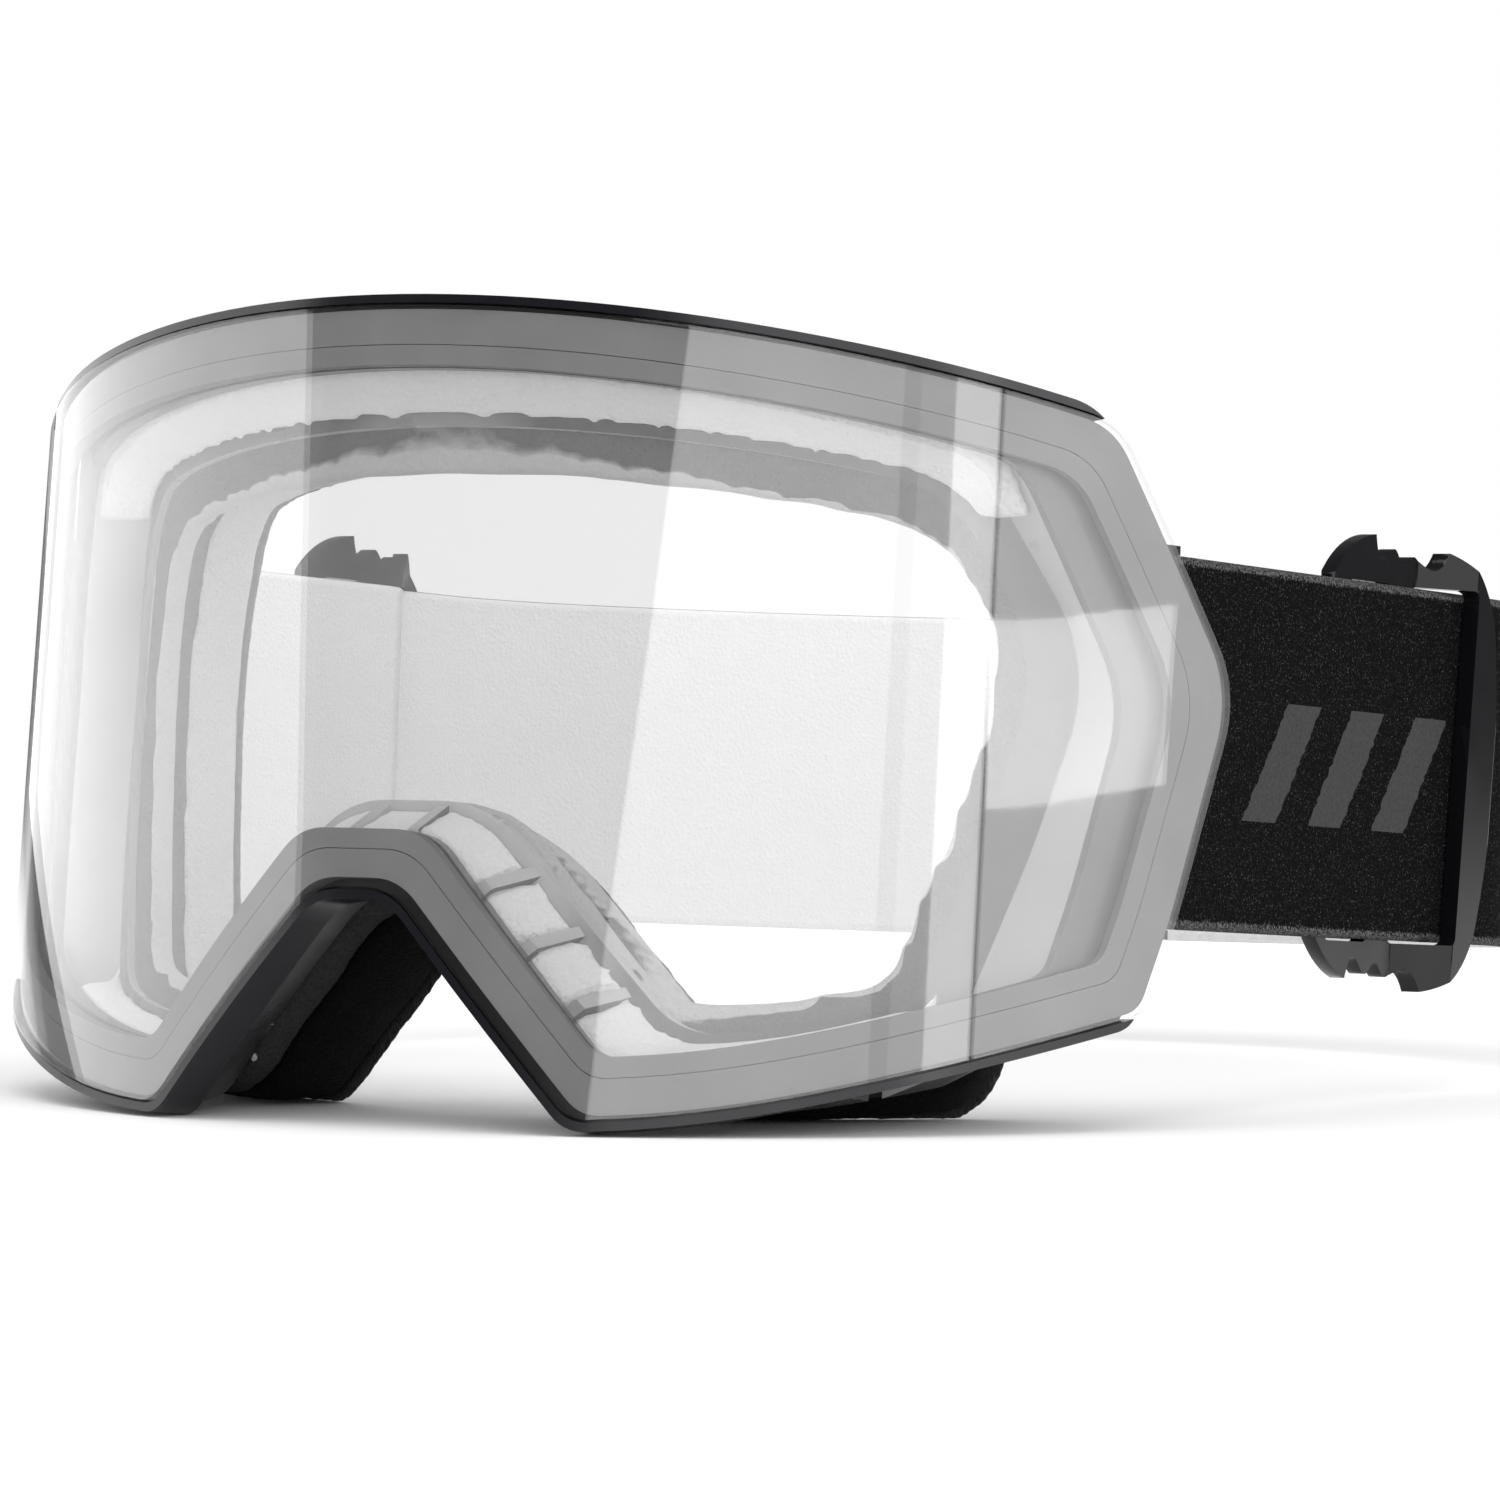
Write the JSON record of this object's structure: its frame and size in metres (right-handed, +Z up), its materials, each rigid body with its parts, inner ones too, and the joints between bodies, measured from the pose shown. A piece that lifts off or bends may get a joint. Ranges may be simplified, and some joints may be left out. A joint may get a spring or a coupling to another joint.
{
  "type": "ski goggles",
  "caption": "Frameless cylindrical snow goggles with a clear magnetic lens unit, vented frame, layered face foam and an elastic head strap with toothed sliders.",
  "frame": {"origin": "bottom centre of the bounding box, on the surface the goggles rest on", "axes": "+X towards the wearer's left, +Y from the lens towards the back of the head, +Z up"},
  "size_m": [0.192, 0.212, 0.1082],
  "materials": {
    "lens": "clear hard-coated polycarbonate with a light mirror",
    "gasket": "closed-cell spacer",
    "carrier": "satin",
    "magnet": "magnets under a grey coating",
    "rim": "glossy",
    "frame": "semi-gloss flexible moulding",
    "vent_foam": "thin open-cell foam",
    "base_foam": "dark grey open-cell foam",
    "face_foam": "soft black foam",
    "fleece": "brushed fleece",
    "webbing": "knitted elastic",
    "anchor": "satin",
    "slider": "glossy"
  },
  "bodies": {
    "frame": {"front_rim": "rim", "rim_magnets": "magnet", "frame_body": "frame", "vent_foam_crown": "vent_foam", "vent_foam_lower": "vent_foam", "foam_base": "base_foam", "foam_core": "face_foam", "face_fleece": "fleece", "strap_rear": "webbing", "anchor_left": "anchor", "strap_left": "webbing", "strap_inner_left": "webbing", "anchor_right": "anchor", "strap_right": "webbing", "strap_inner_right": "webbing"},
    "lens_unit": {"lens_outer": "lens", "lens_inner": "lens", "lens_gasket": "gasket", "lens_carrier": "carrier", "lens_magnets": "magnet"},
    "slider_left": {"slider_left": "slider"},
    "slider_right": {"slider_right": "slider"}
  },
  "joints": [
    {"name": "lens_pull", "type": "slide", "parent": "frame", "child": "lens_unit", "axis": [0, -0.9927, 0.121], "range_m": [0, 0.04]},
    {"name": "strap_adjust_left", "type": "slide", "parent": "frame", "child": "slider_left", "axis": [0, -0.9978, 0.0663], "range_m": [0, 0.037], "deforming": ["strap_inner_left"]},
    {"name": "strap_adjust_right", "type": "slide", "parent": "frame", "child": "slider_right", "axis": [0, -0.9978, 0.0663], "range_m": [0, 0.037], "deforming": ["strap_inner_right"]}
  ]
}
